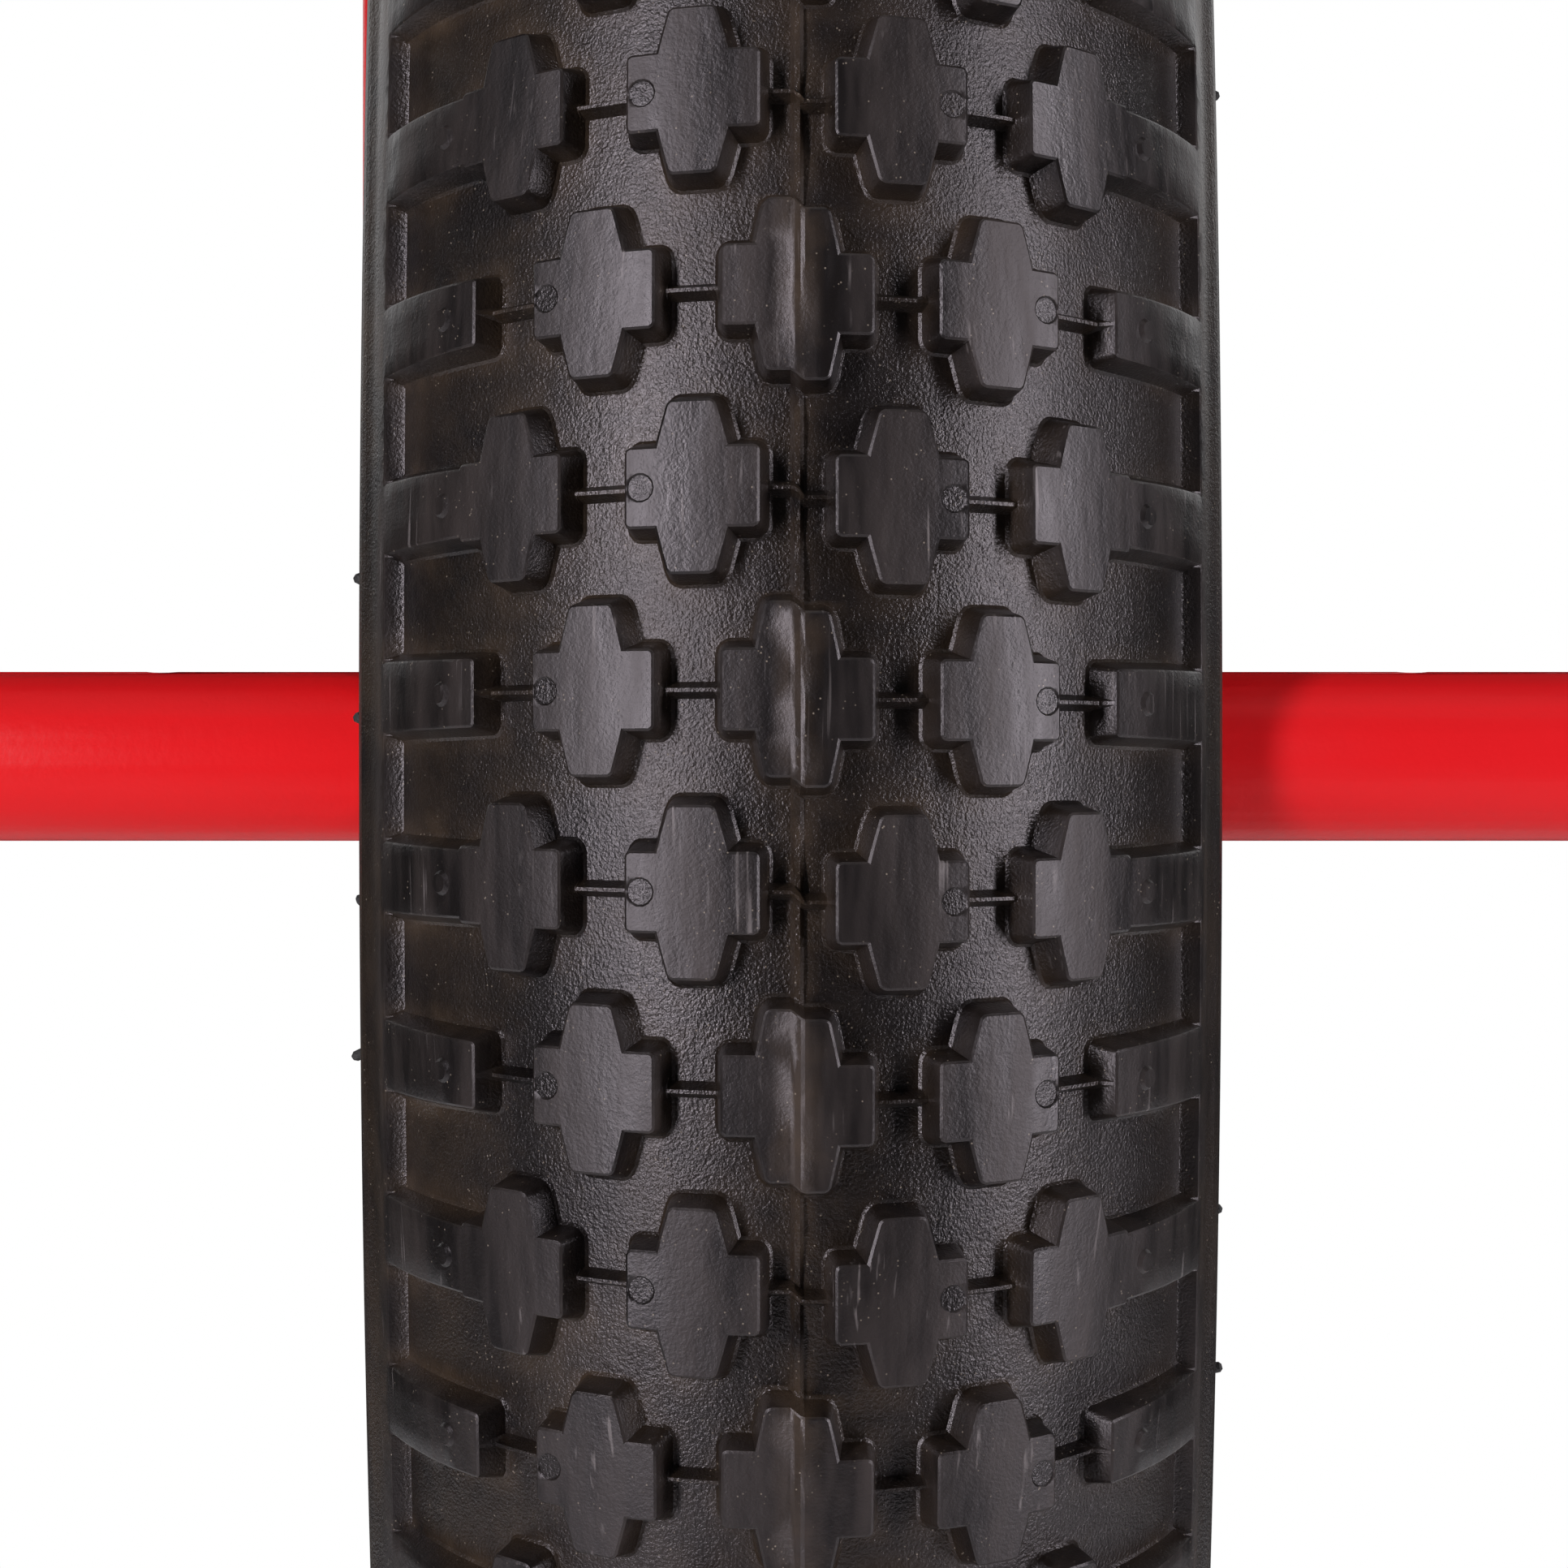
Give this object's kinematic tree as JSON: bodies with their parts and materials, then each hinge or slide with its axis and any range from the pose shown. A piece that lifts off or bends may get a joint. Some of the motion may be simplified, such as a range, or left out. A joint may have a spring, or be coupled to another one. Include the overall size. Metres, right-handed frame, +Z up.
{
  "type": "unicycle",
  "caption": "Chain-driven unicycle with a fat knobbly wheel, a round peg on each axle end, a fork and mast, cranks above the wheel and a height-adjustable saddle.",
  "frame": {"origin": "on the ground, under the middle of the axle", "axes": "+Z up, +X along the axle towards the chain side, the saddle's nose towards -Y"},
  "size_m": [0.333, 0.622, 1.5095],
  "materials": {
    "tyre": "matte with a fine pebble grain",
    "tube_rubber": "matte",
    "alloy": "satin",
    "black_alloy": "satin anodised",
    "steel": "satin",
    "chrome": "polished",
    "chain_steel": "oiled",
    "red_paint": "gloss",
    "black_plastic": "fine texture",
    "red_plastic": "gloss",
    "saddle_cover": "fine woven cover"
  },
  "bodies": {
    "frame": {"axle": "steel", "axle_sleeve": "alloy", "axle_spacers": "steel", "peg_washers": "chrome", "peg_left": "red_paint", "peg_right": "red_paint", "axle_nuts": "chrome", "dropout_left": "red_paint", "dropout_right": "red_paint", "fork_leg_left": "red_paint", "fork_leg_right": "red_paint", "fork_crown": "red_paint", "main_tube": "red_paint", "bottom_bracket_shell": "red_paint", "bb_cups": "black_alloy", "bb_bearings": "steel", "seat_tube": "red_paint", "clamp_collar": "black_alloy", "clamp_bolt": "steel", "clamp_nut": "black_alloy", "clamp_pivot_pin": "steel", "chain_plates": "chain_steel", "chain_rollers": "chain_steel"},
    "wheel": {"tyre": "tyre", "inner_tube": "tube_rubber", "rim": "alloy", "rim_tape": "tube_rubber", "spokes_left": "steel", "spokes_right": "steel", "spoke_nipples": "chrome", "hub_shell": "alloy", "hub_bearings": "steel", "wheel_sprocket": "black_alloy", "sprocket_lockring": "steel", "valve_stem": "chrome", "valve_nut": "chrome", "valve_cap": "black_plastic"},
    "cranks": {"crank_axle": "steel", "crank_left": "black_alloy", "crank_right": "black_alloy", "crank_bolts": "chrome", "crank_sprocket": "black_alloy", "chainring_bolts": "chrome", "pedal_spindle_left": "steel", "pedal_spindle_right": "steel"},
    "pedal_left": {"pedal_body_left": "black_plastic", "pedal_bushings_left": "alloy", "pedal_pins_left": "steel", "pedal_cap_left": "red_plastic"},
    "pedal_right": {"pedal_body_right": "black_plastic", "pedal_bushings_right": "alloy", "pedal_pins_right": "steel", "pedal_cap_right": "red_plastic"},
    "saddle": {"seat_post": "chrome", "saddle_base": "black_plastic", "saddle_cushion": "saddle_cover", "front_bumper": "black_plastic", "rear_bumper": "black_plastic", "saddle_bolts": "steel"},
    "clamp_lever": {"clamp_lever": "black_alloy"}
  },
  "joints": [
    {"name": "wheel_spin", "type": "hinge", "parent": "frame", "child": "wheel", "pos_m": [0, 0, 0.311], "axis": [1, 0, 0], "continuous": true, "deforming": ["chain_rollers"]},
    {"name": "crank_spin", "type": "hinge", "parent": "frame", "child": "cranks", "pos_m": [0, 0, 0.8444], "axis": [1, 0, 0], "continuous": true},
    {"name": "pedal_left_spin", "type": "hinge", "parent": "cranks", "child": "pedal_left", "pos_m": [-0.118, -0.145, 0.8444], "axis": [1, 0, 0], "continuous": true},
    {"name": "pedal_right_spin", "type": "hinge", "parent": "cranks", "child": "pedal_right", "pos_m": [0.118, 0.145, 0.8444], "axis": [1, 0, 0], "continuous": true},
    {"name": "saddle_height", "type": "slide", "parent": "frame", "child": "saddle", "axis": [0, 0, 1], "range_m": [-0.12, 0.05]},
    {"name": "clamp_lever_turn", "type": "hinge", "parent": "frame", "child": "clamp_lever", "pos_m": [-0.014, 0.02595, 1.1244], "axis": [0, 0, -1], "range_deg": [0, 110]}
  ],
  "couplings": [
    {"joint": "crank_spin", "follows": "wheel_spin", "ratio": 1}
  ]
}
